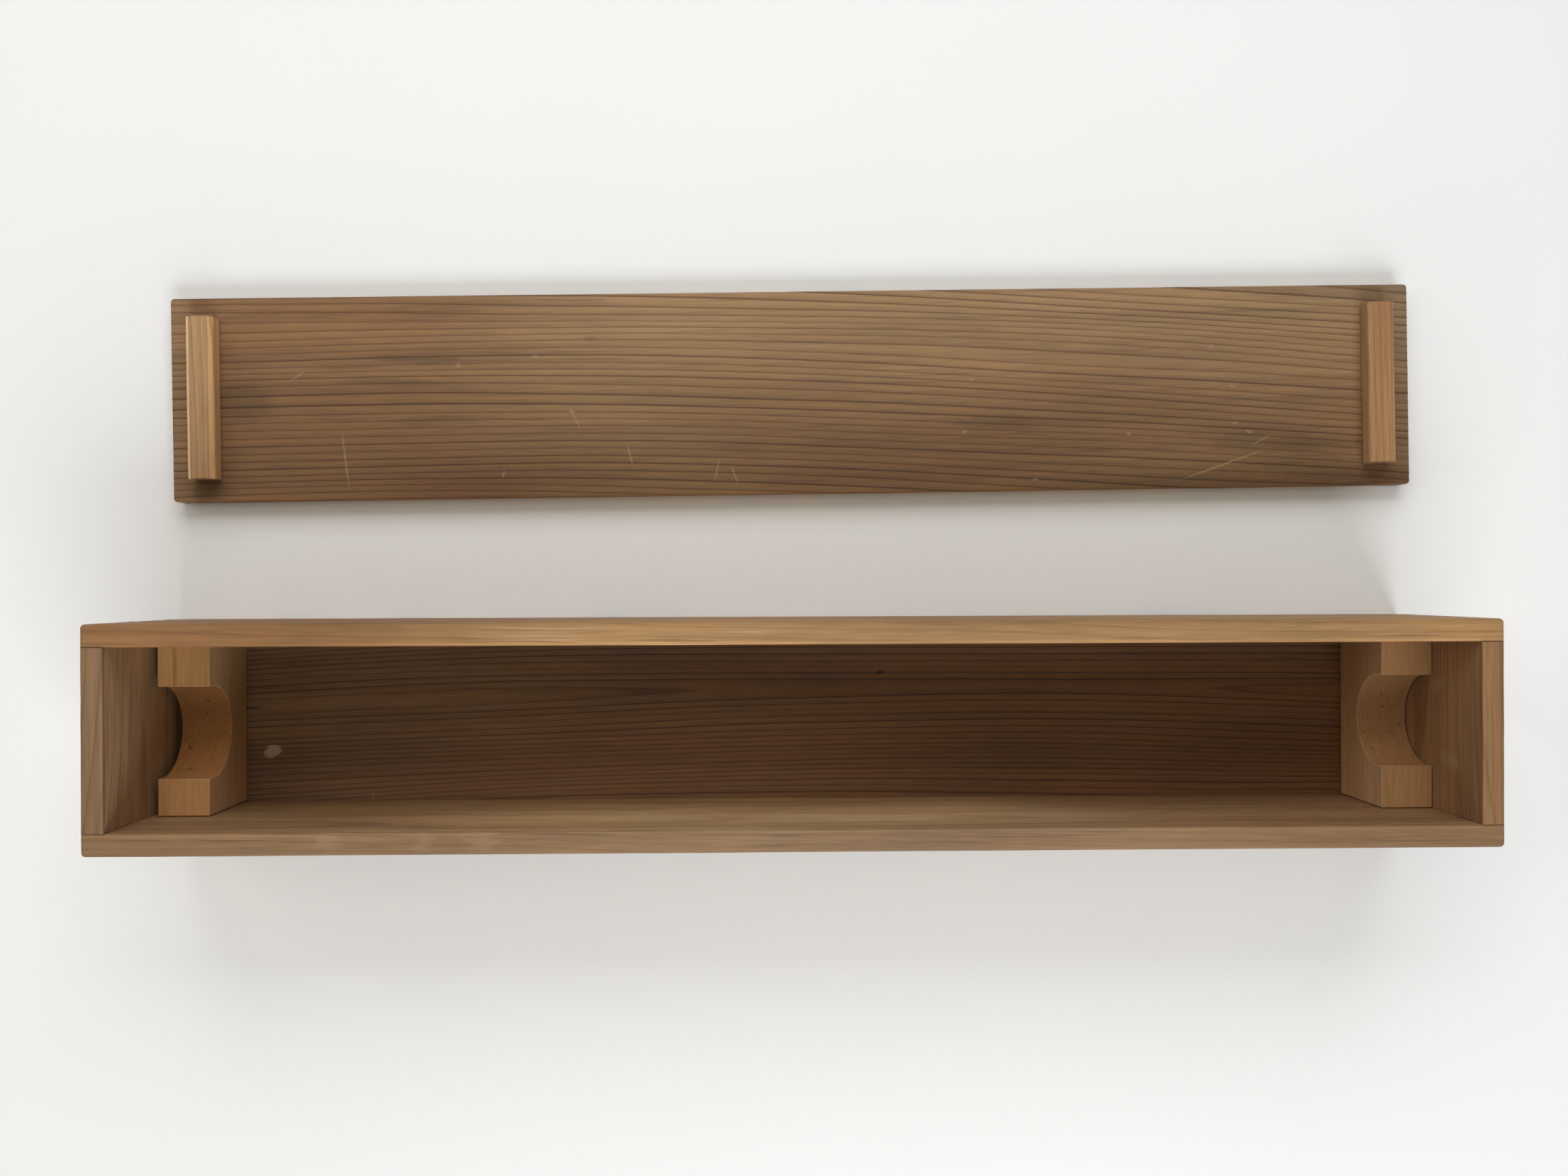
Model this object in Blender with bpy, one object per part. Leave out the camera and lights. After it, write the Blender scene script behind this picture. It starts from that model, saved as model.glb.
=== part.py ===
"""A box for one rolled hanging scroll, in plain cedar, with its lid off.

The box is long and narrow: a bottom board, two long walls, and two end boards that butt in between them.
Inside each end stands a block with a U-shaped notch, and the scroll's two rod ends lie in the notches.
The lid is a loose flat board with a cross batten near each end. The battens drop in just inside the end boards
and keep the lid in place. It lies upside down behind the box. Small tapered wooden pegs hold every joint.

Metres, +Z up. The origin is the middle of the box's underside, +X runs along it and +Y points to the lid.
"""

import math

import bmesh
import bpy
from mathutils import Matrix, Vector

# Driving dimensions
BOX_LENGTH = 0.470
BOX_WIDTH = 0.076
BOX_HEIGHT = 0.074  # without the lid
SIDE_THICK = 0.0074
END_THICK = 0.0076
BOTTOM_THICK = 0.008
JOINT_GAP = 0.0003  # the glue line between two pieces that touch

REST_THICK = 0.0181
REST_TOP = 0.0417  # height of a rest's two posts
NOTCH_WIDTH = 0.0323
NOTCH_DEPTH = 0.0194
NOTCH_OFF_CENTRE = 0.001  # each notch is cut a little off the middle, the two opposite ways
LEFT_REST_CLEARANCE = 0.003  # the left rest stands off its end board
RIGHT_REST_CLEARANCE = JOINT_GAP

LID_WIDTH = 0.0766
LID_THICK = 0.0075
LID_CENTRE = (0.0009, 0.1234)  # where the lid lies
LID_TURN = math.radians(0.7)
BATTEN_WIDTH = 0.010
BATTEN_HEIGHT = 0.008
BATTEN_CHAMFER = 0.0015
BATTEN_PLAY = 0.0006  # between a batten and the end board that it drops in beside
BATTEN_END_PLAY = 0.0003  # between a batten's end and a long wall

EDGE_ROUND = 0.0014  # the sanded outer edges
ROUND_STEPS = 3
SHARP_ANGLE = math.radians(40)

PEG_RADIUS = 0.00125
PEG_TIP_RADIUS = 0.0009
PEG_TIP_CHAMFER = 0.0004
PEG_RECESS = 0.0002  # a peg's head ends this far below the surface
PEG_SIDES = 12
LONG_PEG = 0.018
LID_PEG = 0.0125
HOLE_RADIUS = PEG_RADIUS + JOINT_GAP
HOLE_SPARE = 0.0005  # a hole goes this far past its peg's tip
CUTTER_OVERRUN = 0.002

# Sizes that follow
HALF_LENGTH = BOX_LENGTH / 2
HALF_WIDTH = BOX_WIDTH / 2
END_INSIDE = HALF_LENGTH - END_THICK
SIDE_INSIDE = HALF_WIDTH - SIDE_THICK
WALL_FOOT = BOTTOM_THICK + JOINT_GAP
BETWEEN_SIDES = SIDE_INSIDE - JOINT_GAP  # half the length of a piece that fits between the long walls
END_MIDDLE = HALF_LENGTH - END_THICK / 2
SIDE_MIDDLE = HALF_WIDTH - SIDE_THICK / 2
BATTEN_MIDDLE = END_INSIDE - BATTEN_PLAY - BATTEN_WIDTH / 2
LID_HALF_WIDTH = LID_WIDTH / 2

# Where the pegs are
CORNER_PEG_HEIGHTS = (0.0235, 0.0415, 0.0595)
BOTTOM_PEG_PLACES = (-0.198, -0.068, 0.068, 0.198)
LID_PEG_OFFSET = 0.018

# Woods, as red, green and blue with a roughness
WALL_WOOD = ((0.33, 0.20, 0.10), 0.62)
END_WOOD = ((0.30, 0.18, 0.09), 0.64)
BOTTOM_WOOD = ((0.20, 0.11, 0.06), 0.66)
REST_WOOD = ((0.36, 0.19, 0.08), 0.60)
LID_WOOD = ((0.25, 0.16, 0.09), 0.64)
BATTEN_WOOD = ((0.40, 0.24, 0.12), 0.60)
PEG_WOOD = ((0.45, 0.32, 0.18), 0.55)


def clear_scene():
    for obj in list(bpy.data.objects):
        bpy.data.objects.remove(obj, do_unlink=True)


def wood(name, look):
    colour, roughness = look
    material = bpy.data.materials.new(name)
    material.use_nodes = True
    shader = material.node_tree.nodes["Principled BSDF"]
    shader.inputs["Base Color"].default_value = (*colour, 1)
    shader.inputs["Roughness"].default_value = roughness
    shader.inputs["Metallic"].default_value = 0
    material.diffuse_color = (*colour, 1)
    return material


def add_object(name, mesh, parent, location, look):
    obj = bpy.data.objects.new(name, mesh)
    bpy.context.scene.collection.objects.link(obj)
    obj.parent = parent
    obj.location = location
    if look is not None:
        mesh.materials.append(wood(name + "_wood", look))
    return obj


def add_empty(name, location, turn=0.0):
    empty = add_object(name, None, None, location, None)
    empty.rotation_euler.z = turn
    return empty


def finish_mesh(name, bm):
    bmesh.ops.recalc_face_normals(bm, faces=bm.faces)
    mesh = bpy.data.meshes.new(name)
    bm.to_mesh(mesh)
    bm.free()
    mesh.shade_smooth()
    mesh.set_sharp_from_angle(angle=SHARP_ANGLE)
    return mesh


def add_board(name, parent, low, high, look, worked_edges, width=EDGE_ROUND, steps=ROUND_STEPS):
    """A plank between two corners. worked_edges(middle, along) picks the edges that are rounded or chamfered:
    middle holds -1, 0 or 1 on each axis for where the edge lies, and along is the axis that it runs along."""
    low, high = Vector(low), Vector(high)
    size = high - low
    bm = bmesh.new()
    bmesh.ops.create_cube(bm, size=1, matrix=Matrix.Diagonal((*size, 1)))
    chosen = []
    for edge in bm.edges:
        across = edge.verts[0].co + edge.verts[1].co
        middle = [round(across[axis] / size[axis]) for axis in range(3)]
        if worked_edges(middle, middle.index(0)):
            chosen.append(edge)
    bmesh.ops.bevel(bm, geom=chosen, offset=width, segments=steps, profile=0.5, affect="EDGES")
    return add_object(name, finish_mesh(name, bm), parent, (low + high) / 2, look)


def add_long_wall(name, parent, side):
    """side is -1 for the front wall and 1 for the back one. Its top and corners are sanded on the outside."""

    def outer_edges(middle, along):
        return middle[1] == side and (along == 2 or middle[2] == 1) or along == 1 and middle[2] == 1

    edges = sorted((side * SIDE_INSIDE, side * HALF_WIDTH))
    low = (-HALF_LENGTH, edges[0], WALL_FOOT)
    high = (HALF_LENGTH, edges[1], BOX_HEIGHT)
    return add_board(name, parent, low, high, WALL_WOOD, outer_edges)


def add_end_board(name, parent, side):
    def top_outer_edge(middle, along):
        return along == 1 and middle[2] == 1 and middle[0] == side

    edges = sorted((side * END_INSIDE, side * HALF_LENGTH))
    low = (edges[0], -BETWEEN_SIDES, WALL_FOOT)
    high = (edges[1], BETWEEN_SIDES, BOX_HEIGHT)
    return add_board(name, parent, low, high, END_WOOD, top_outer_edge)


def add_bottom_board(parent):
    def corners_and_underside(middle, along):
        return along == 2 or middle[2] == -1

    low = (-HALF_LENGTH, -HALF_WIDTH, 0)
    high = (HALF_LENGTH, HALF_WIDTH, BOTTOM_THICK)
    return add_board("bottom_board", parent, low, high, BOTTOM_WOOD, corners_and_underside)


def notch_outline(centre):
    """The notch from its front lip to its back lip, as (y, z): straight sides, then a half round."""
    radius = NOTCH_WIDTH / 2
    arc_height = REST_TOP - NOTCH_DEPTH + radius
    steps = 24
    points = [(centre - radius, REST_TOP)]
    for step in range(steps + 1):
        angle = math.pi * step / steps
        points.append((centre - radius * math.cos(angle), arc_height - radius * math.sin(angle)))
    points.append((centre + radius, REST_TOP))
    return points


def add_rest(name, parent, side, clearance):
    """A block across the inside of one end, sawn to its notched outline and as thick as it lies along X."""
    outer = END_INSIDE - clearance
    middle_x = side * (outer - REST_THICK / 2)
    outline = [(-BETWEEN_SIDES, REST_TOP), (-BETWEEN_SIDES, WALL_FOOT)]
    outline += [(BETWEEN_SIDES, WALL_FOOT), (BETWEEN_SIDES, REST_TOP)]
    outline += reversed(notch_outline(side * NOTCH_OFF_CENTRE))
    bm = bmesh.new()
    corners = [bm.verts.new((-REST_THICK / 2, y, z)) for y, z in outline]
    face = bm.faces.new(corners)
    grown = bmesh.ops.extrude_face_region(bm, geom=[face])
    moved = [item for item in grown["geom"] if isinstance(item, bmesh.types.BMVert)]
    bmesh.ops.translate(bm, verts=moved, vec=(REST_THICK, 0, 0))
    return add_object(name, finish_mesh(name, bm), parent, (middle_x, 0, 0), REST_WOOD)


def add_lid_board(parent):
    def every_edge(middle, along):
        return True

    low = (-HALF_LENGTH, -LID_HALF_WIDTH, 0)
    high = (HALF_LENGTH, LID_HALF_WIDTH, LID_THICK)
    return add_board("lid_board", parent, low, high, LID_WOOD, every_edge)


def add_batten(name, parent, side):
    """A strip across the lid's inner face, glued and pegged, with its two free long edges chamfered."""

    def upper_long_edges(middle, along):
        return along == 1 and middle[2] == 1

    half = SIDE_INSIDE - BATTEN_END_PLAY
    low = (side * BATTEN_MIDDLE - BATTEN_WIDTH / 2, -half, LID_THICK + JOINT_GAP)
    high = (side * BATTEN_MIDDLE + BATTEN_WIDTH / 2, half, LID_THICK + BATTEN_HEIGHT)
    return add_board(name, parent, low, high, BATTEN_WOOD, upper_long_edges, BATTEN_CHAMFER, 1)


def turned_to(direction):
    return Vector((0, 0, 1)).rotation_difference(Vector(direction)).to_matrix().to_4x4()


def peg_mesh(name, length):
    """A tapered round peg whose head is at its origin and whose tip points along +Z."""
    profile = [(0, length), (PEG_TIP_RADIUS - PEG_TIP_CHAMFER, length)]
    profile += [(PEG_TIP_RADIUS, length - PEG_TIP_CHAMFER), (PEG_RADIUS, 0), (0, 0)]
    bm = bmesh.new()
    points = [bm.verts.new((radius, 0, height)) for radius, height in profile]
    line = [bm.edges.new(pair) for pair in zip(points, points[1:])]
    bmesh.ops.spin(
        bm, geom=points + line, cent=(0, 0, 0), axis=(0, 0, 1), angle=math.tau, steps=PEG_SIDES, use_merge=True
    )
    bmesh.ops.remove_doubles(bm, verts=bm.verts, dist=1e-6)
    mesh = finish_mesh(name, bm)
    mesh.materials.append(wood(name + "_wood", PEG_WOOD))
    return mesh


def add_pegs(parent, mesh, length, places, boards):
    """A peg at each (name, head, direction), and one cutter that bores all their holes through the boards."""
    bm = bmesh.new()
    depth = length + HOLE_SPARE + CUTTER_OVERRUN
    for name, head, direction in places:
        inward = Vector(direction)
        peg = add_object(name, mesh, parent, Vector(head) + inward * PEG_RECESS, None)
        peg.rotation_euler = turned_to(direction).to_euler()
        middle = Vector(head) + inward * (depth / 2 - CUTTER_OVERRUN)
        bmesh.ops.create_cone(
            bm,
            cap_ends=True,
            segments=PEG_SIDES,
            radius1=HOLE_RADIUS,
            radius2=HOLE_RADIUS,
            depth=depth,
            matrix=Matrix.Translation(middle) @ turned_to(direction),
        )
    cutter = add_object(mesh.name + "_holes", finish_mesh(mesh.name + "_holes", bm), parent, (0, 0, 0), None)
    cutter.hide_render = True
    cutter.display_type = "WIRE"
    for board in boards:
        hole = board.modifiers.new("peg_holes", "BOOLEAN")
        hole.operation = "DIFFERENCE"
        hole.solver = "EXACT"
        hole.object = cutter


def corner_peg_places():
    places = []
    for front, side_y in (("front", -1), ("back", 1)):
        for hand, side_x in (("left", -1), ("right", 1)):
            for count, height in enumerate(CORNER_PEG_HEIGHTS, 1):
                head = (side_x * END_MIDDLE, side_y * HALF_WIDTH, height)
                places.append((f"{front}_{hand}_corner_peg_{count}", head, (0, -side_y, 0)))
    return places


def bottom_peg_places():
    places = []
    for front, side_y in (("front", -1), ("back", 1)):
        for count, x in enumerate(BOTTOM_PEG_PLACES, 1):
            places.append((f"bottom_{front}_peg_{count}", (x, side_y * SIDE_MIDDLE, 0), (0, 0, 1)))
    for hand, side_x in (("left", -1), ("right", 1)):
        places.append((f"bottom_{hand}_peg", (side_x * END_MIDDLE, 0, 0), (0, 0, 1)))
    return places


def lid_peg_places():
    places = []
    for hand, side_x in (("left", -1), ("right", 1)):
        for count, side_y in enumerate((-1, 1), 1):
            head = (side_x * BATTEN_MIDDLE, side_y * LID_PEG_OFFSET, 0)
            places.append((f"{hand}_batten_peg_{count}", head, (0, 0, 1)))
    return places


def build_box():
    box = add_empty("box_frame", (0, 0, 0))
    bottom = add_bottom_board(box)
    walls = [add_long_wall("front_wall", box, -1), add_long_wall("back_wall", box, 1)]
    ends = [add_end_board("left_end_board", box, -1), add_end_board("right_end_board", box, 1)]
    add_rest("left_scroll_rest", box, -1, LEFT_REST_CLEARANCE)
    add_rest("right_scroll_rest", box, 1, RIGHT_REST_CLEARANCE)
    add_pegs(box, peg_mesh("corner_peg", LONG_PEG), LONG_PEG, corner_peg_places(), walls + ends)
    boards = [bottom, *walls, *ends]
    add_pegs(box, peg_mesh("bottom_peg", LONG_PEG), LONG_PEG, bottom_peg_places(), boards)


def build_lid():
    """The lid upside down, on an empty that stands on the line along which the lid is lifted."""
    lid = add_empty("lid_frame", (*LID_CENTRE, 0), LID_TURN)
    pieces = [add_lid_board(lid), add_batten("left_lid_batten", lid, -1), add_batten("right_lid_batten", lid, 1)]
    add_pegs(lid, peg_mesh("lid_peg", LID_PEG), LID_PEG, lid_peg_places(), pieces)


clear_scene()
build_box()
build_lid()
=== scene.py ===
"""The finished look of a cedar box for one hanging scroll, open, with its lid lying upside down behind it.

Metres, +Z up. The box stands along X with its middle at the origin, and the lid lies behind it, at +Y.
"""

import math

import bmesh
import bpy
from mathutils import Euler, Matrix, Vector


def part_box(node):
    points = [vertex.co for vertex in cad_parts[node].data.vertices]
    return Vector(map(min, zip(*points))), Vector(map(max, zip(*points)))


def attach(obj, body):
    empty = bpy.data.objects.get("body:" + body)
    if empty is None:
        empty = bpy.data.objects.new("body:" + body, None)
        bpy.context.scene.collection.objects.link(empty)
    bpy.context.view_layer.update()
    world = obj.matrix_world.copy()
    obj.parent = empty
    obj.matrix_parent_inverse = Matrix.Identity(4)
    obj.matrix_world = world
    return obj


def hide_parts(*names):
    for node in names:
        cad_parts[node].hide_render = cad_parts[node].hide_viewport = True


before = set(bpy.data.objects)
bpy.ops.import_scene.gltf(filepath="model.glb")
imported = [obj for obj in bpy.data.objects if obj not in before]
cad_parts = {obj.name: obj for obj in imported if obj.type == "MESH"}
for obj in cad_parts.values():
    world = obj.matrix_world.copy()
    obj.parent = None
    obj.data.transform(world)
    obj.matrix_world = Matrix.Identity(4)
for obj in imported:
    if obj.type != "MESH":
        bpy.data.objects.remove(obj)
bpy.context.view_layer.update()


# The camera
#
# It hangs half a metre up, between the box and its lid, and looks almost straight down on both.

camera = bpy.data.objects.new("camera", bpy.data.cameras.new("camera"))
bpy.context.scene.collection.objects.link(camera)
camera.location = (-0.01236, 0.04983, 0.50495)
camera.rotation_euler = (-0.00155, -0.01755, -0.00381)
camera.data.sensor_width = 36.0
camera.data.lens = 30.05
camera.data.clip_start = 0.01
bpy.context.scene.camera = camera


# The bottom board
#
# A flat-sawn cedar board under the whole box, planed and left bare. The walls stand on it and are pegged to
# it from below. Its rings show as dark lines that open towards both ends, and its inner face is the darkest.


class Wire:
    """A socket of a node tree. Python's operators on it add Math nodes, and make() adds any other node."""

    def __init__(self, tree, socket=None):
        self.tree = tree
        self.socket = socket

    def make(self, kind, settings=None, inputs=None, output=0):
        """The settings come first, because some of them change which sockets a node has."""
        node = self.tree.nodes.new(kind)
        for name, value in (settings or {}).items():
            setattr(node, name, value)
        for name, value in (inputs or {}).items():
            if isinstance(value, Wire):
                self.tree.links.new(value.socket, node.inputs[name])
            else:
                node.inputs[name].default_value = value
        return Wire(self.tree, node.outputs[output]) if node.outputs else None

    def math(self, operation, *values):
        return self.make("ShaderNodeMath", {"operation": operation}, dict(enumerate(values)))

    def __add__(self, other):
        return self.math("ADD", self, other)

    def __radd__(self, other):
        return self.math("ADD", other, self)

    def __sub__(self, other):
        return self.math("SUBTRACT", self, other)

    def __rsub__(self, other):
        return self.math("SUBTRACT", other, self)

    def __mul__(self, other):
        return self.math("MULTIPLY", self, other)

    def __rmul__(self, other):
        return self.math("MULTIPLY", other, self)

    def __truediv__(self, other):
        return self.math("DIVIDE", self, other)

    def __rtruediv__(self, other):
        return self.math("DIVIDE", other, self)

    def __pow__(self, other):
        return self.math("POWER", self, other)

    def __gt__(self, other):
        return self.math("GREATER_THAN", self, other)

    def __abs__(self):
        return self.math("ABSOLUTE", self)

    def at_least(self, other):
        return self.math("MAXIMUM", self, other)

    def at_most(self, other):
        return self.math("MINIMUM", self, other)

    def rise(self, start, end):
        """0 up to start and 1 from end on, with a smooth rise between. It falls where end comes first."""
        settings = {"interpolation_type": "SMOOTHSTEP"}
        return self.make("ShaderNodeMapRange", settings, {"Value": self, "From Min": start, "From Max": end})

    def vector(self, operation, *values):
        return self.make("ShaderNodeVectorMath", {"operation": operation}, dict(enumerate(values)))

    def scaled(self, amount):
        return self.make("ShaderNodeVectorMath", {"operation": "SCALE"}, {0: self, "Scale": amount})

    def parts(self):
        return [self.make("ShaderNodeSeparateXYZ", None, {0: self}, axis) for axis in range(3)]

    def noise(self, lumps, seed, detail=2.0):
        """Noise from 0 to 1 at this place. lumps says how many of its lumps fit in a metre on each axis."""
        shift = seed if isinstance(seed, Wire) else (seed, seed, seed)
        spread = self.vector("MULTIPLY_ADD", self, lumps, shift)
        return self.make("ShaderNodeTexNoise", None, {"Vector": spread, "Scale": 1.0, "Detail": detail})

    def toward(self, other, share):
        """This colour mixed with another one."""
        return self.make("ShaderNodeMix", {"data_type": "RGBA"}, {0: share, 6: self, 7: other}, 2)

    def between(self, low, high):
        """The colour this share of the way from one fixed colour to another."""
        return self.make("ShaderNodeMix", {"data_type": "RGBA"}, {0: self, 6: (*low, 1), 7: (*high, 1)}, 2)

    def tinted(self, tint, share=None):
        """This colour times a tint, or that share of the way there."""
        if share is not None:
            tint = share.between((1.0, 1.0, 1.0), tint)
        return self.vector("MULTIPLY", self, tint)

    def patch(self, middle, size, angle=0.0, core=0.3, ragged=0.0):
        """1 in an oval on the board's faces, 0 from its rim on. middle and size are along and across."""
        move = {"Vector": self, "Location": (*middle, 0), "Rotation": (0, 0, math.radians(angle))}
        move["Scale"] = (*size, 10)
        seen = self.make("ShaderNodeMapping", {"vector_type": "TEXTURE"}, move)
        far = self.make("ShaderNodeVectorMath", {"operation": "LENGTH"}, {0: seen}, "Value")
        if ragged:
            far = far + (self.noise((140.0, 420.0, 420.0), middle[0] * 900 + 7.0, 3.0) - 0.5) * ragged
        return far.rise(1.0, core)


def year_rings(place, log):
    """How many rings lie between the log's heart and a place in a board, whose grain runs along X.

    The heart passes the board at some distance across it and in its depth. It leans and bows along the grain,
    which slants and bends the lines on the faces."""
    along, across, depth = place.parts()
    off = across - (log["heart"] + along * (log["lean"] + along * log["bow"]))
    under = depth - (log["deep"] + along * (log["deep lean"] + along * log["deep bow"]))
    radius = (off * off + under * under) ** 0.5
    wander = (place.noise((7.0, 34.0, 34.0), log["seed"], 1.0) - 0.5) * log["wander"]
    spread = radius.make("ShaderNodeCombineXYZ", None, {0: radius, 1: along * 0.05})
    uneven = (spread.noise((75.0, 75.0, 1.0), log["seed"], 0.0) - 0.5) * 2.6
    return (radius + wander) / log["ring"] + uneven


def latewood(years):
    """Up to 1 in the dark wood that ends each ring. It comes on slowly, stops sharply, and varies by year."""
    ring = years.math("FLOOR", years)
    share = years - ring
    vigour = years.make("ShaderNodeTexWhiteNoise", {"noise_dimensions": "1D"}, {"W": ring}, "Value")
    dark = share.rise(0.30, 0.84) * 0.32 + share.rise(0.76, 0.88) * 0.68
    return dark * share.rise(1.0, 0.975) * (vigour * 0.5 + 0.5)


LOG_KEYS = ("heart", "deep", "lean", "deep lean", "bow", "deep bow", "ring", "wander", "seed")
SANDED = 0.00022  # the least round that fine paper leaves on any edge
RUB_END = 0.003  # a rubbed edge fades out over this length
PLANED = 0.00012  # the height of a hand plane's ripples


def plank_tree():
    """Makes a board flat on the bench, along X, eases its edges, then turns it and takes it to its place."""
    tree = bpy.data.node_groups.new("plank", "GeometryNodeTree")
    tree.interface.new_socket("Geometry", in_out="OUTPUT", socket_type="NodeSocketGeometry")
    places = ("Size", "Cuts", "Low faces", "High faces", "Centre", "Rubbed low", "Rubbed high")
    kinds = {**dict.fromkeys(places, "Vector"), "Turn": "Rotation", "Wood": "Material"}
    for name in (*kinds, "Ease", "Rub", "Rub stop", "Chamfer", "Wear", "Relief", *LOG_KEYS):
        kind = "NodeSocket" + kinds.get(name, "Float")
        tree.interface.new_socket(name, in_out="INPUT", socket_type=kind)
    start = Wire(tree)

    def given(name):
        return start.make("NodeGroupInput", output=name)

    half = given("Size").scaled(0.5)
    cuts = given("Cuts")

    def crowded(across, half_size, count):
        """Shifts one axis's cuts so that the first few crowd into a narrow band beside each edge."""
        band, few = 0.0016, 7
        cut = ((1 - abs(across) / half_size) * count / 2).at_least(0)
        near = (cut / few) ** 1.8 * band
        far = (half_size - band) * (cut - few) / (count / 2 - few) + band
        return across.math("SIGN", across) * (half_size - near - (cut > few) * (far - near))

    def eased(place, low, high, radius, chamfer):
        """Pulls a point that lies on the block in to the round, or to the flat, between the marked faces."""
        lowest = place.vector("MULTIPLY_ADD", low, radius, half.scaled(-1))
        highest = place.vector("SUBTRACT", half, place.vector("MULTIPLY", high, radius))
        inner = place.vector("MINIMUM", place.vector("MAXIMUM", place, lowest), highest)
        out = place.vector("SUBTRACT", place, inner)
        length = place.make("ShaderNodeVectorMath", {"operation": "LENGTH"}, {0: out}, "Value")
        steps = {0: out.vector("ABSOLUTE", out), 1: (1, 1, 1)}
        stepped = place.make("ShaderNodeVectorMath", {"operation": "DOT_PRODUCT"}, steps, "Value")
        reach = length + chamfer * (stepped - length)
        return place.vector("ADD", inner, out.scaled((radius / reach).at_most(1)))

    counts = {"Size": given("Size")}
    for axis, count in zip("XYZ", cuts.parts()):
        counts["Vertices " + axis] = count + 1
    block = start.make("GeometryNodeMeshCube", None, counts)
    here = start.make("GeometryNodeInputPosition")
    moved = [crowded(*each) for each in zip(here.parts(), half.parts(), cuts.parts())]
    sawn = start.make("ShaderNodeCombineXYZ", None, dict(enumerate(moved)))
    every = (1.0, 1.0, 1.0)
    worn = (sawn.noise((60.0, 60.0, 60.0), given("seed")) - 0.5) * given("Wear") + 1
    sanded = eased(sawn, every, every, worn * SANDED, 0.0)
    reached = abs(here.parts()[0]).rise(given("Rub stop"), given("Rub stop") - RUB_END)
    rubbed = worn * given("Rub") * reached
    sanded = eased(sanded, given("Rubbed low"), given("Rubbed high"), rubbed, 0.0)
    sanded = eased(sanded, given("Low faces"), given("High faces"), worn * given("Ease"), given("Chamfer"))
    board = start.make("GeometryNodeSetPosition", None, {"Geometry": block, "Position": sanded})
    log = {key: given(key) for key in LOG_KEYS}
    ridge = latewood(year_rings(here, log)) * given("Relief")
    planed = (here.noise((9.0, 28.0, 28.0), given("seed") + 3) - 0.5) * PLANED
    outward = start.make("GeometryNodeInputNormal").scaled(ridge + planed)
    board = start.make("GeometryNodeSetPosition", None, {"Geometry": board, "Offset": outward})
    place = {"Geometry": board, "Translation": given("Centre"), "Rotation": given("Turn")}
    board = start.make("GeometryNodeTransform", None, place)
    board = start.make("GeometryNodeRealizeInstances", None, {"Geometry": board})
    board = start.make("GeometryNodeSetMaterial", None, {"Geometry": board, "Material": given("Wood")})
    output = tree.nodes.new("NodeGroupOutput")
    tree.links.new(board.socket, output.inputs["Geometry"])
    return tree


def grown(name, tree, values, start_mesh=None, cutter=None):
    """A new object whose plain mesh a Geometry Nodes tree makes from values for its named inputs."""
    seedling = bpy.data.objects.new(name, start_mesh or bpy.data.meshes.new(name))
    bpy.context.scene.collection.objects.link(seedling)
    maker = seedling.modifiers.new("maker", "NODES")
    maker.node_group = tree
    for item in tree.interface.items_tree:
        if item.in_out == "INPUT" and item.name in values:
            maker[item.identifier] = values[item.name]
    if cutter is not None:
        borer = seedling.modifiers.new("peg_holes", "BOOLEAN")
        borer.object = cutter
        borer.solver = "MANIFOLD"
    evaluated = seedling.evaluated_get(bpy.context.evaluated_depsgraph_get())
    mesh = bpy.data.meshes.new_from_object(evaluated)
    bpy.data.objects.remove(seedling)
    mesh.name = name
    mesh.shade_smooth()
    mesh.set_sharp_from_angle(angle=math.radians(38))
    piece = bpy.data.objects.new(name, mesh)
    bpy.context.scene.collection.objects.link(piece)
    return piece


def measured(node, turn):
    """The middle of a CAD node in the frame, and its size along its own axes, which turn gives."""
    axes = Euler(turn).to_matrix()
    points = [axes.transposed() @ vertex.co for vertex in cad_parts[node].data.vertices]
    low = Vector([min(point[axis] for point in points) for axis in range(3)])
    high = Vector([max(point[axis] for point in points) for axis in range(3)])
    return axes @ ((low + high) / 2), high - low


def material(name):
    """A new material with its empty tree, as (material, start of its tree)."""
    made = bpy.data.materials.new(name)
    made.use_nodes = True
    made.node_tree.nodes.clear()
    return made, Wire(made.node_tree)


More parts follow.
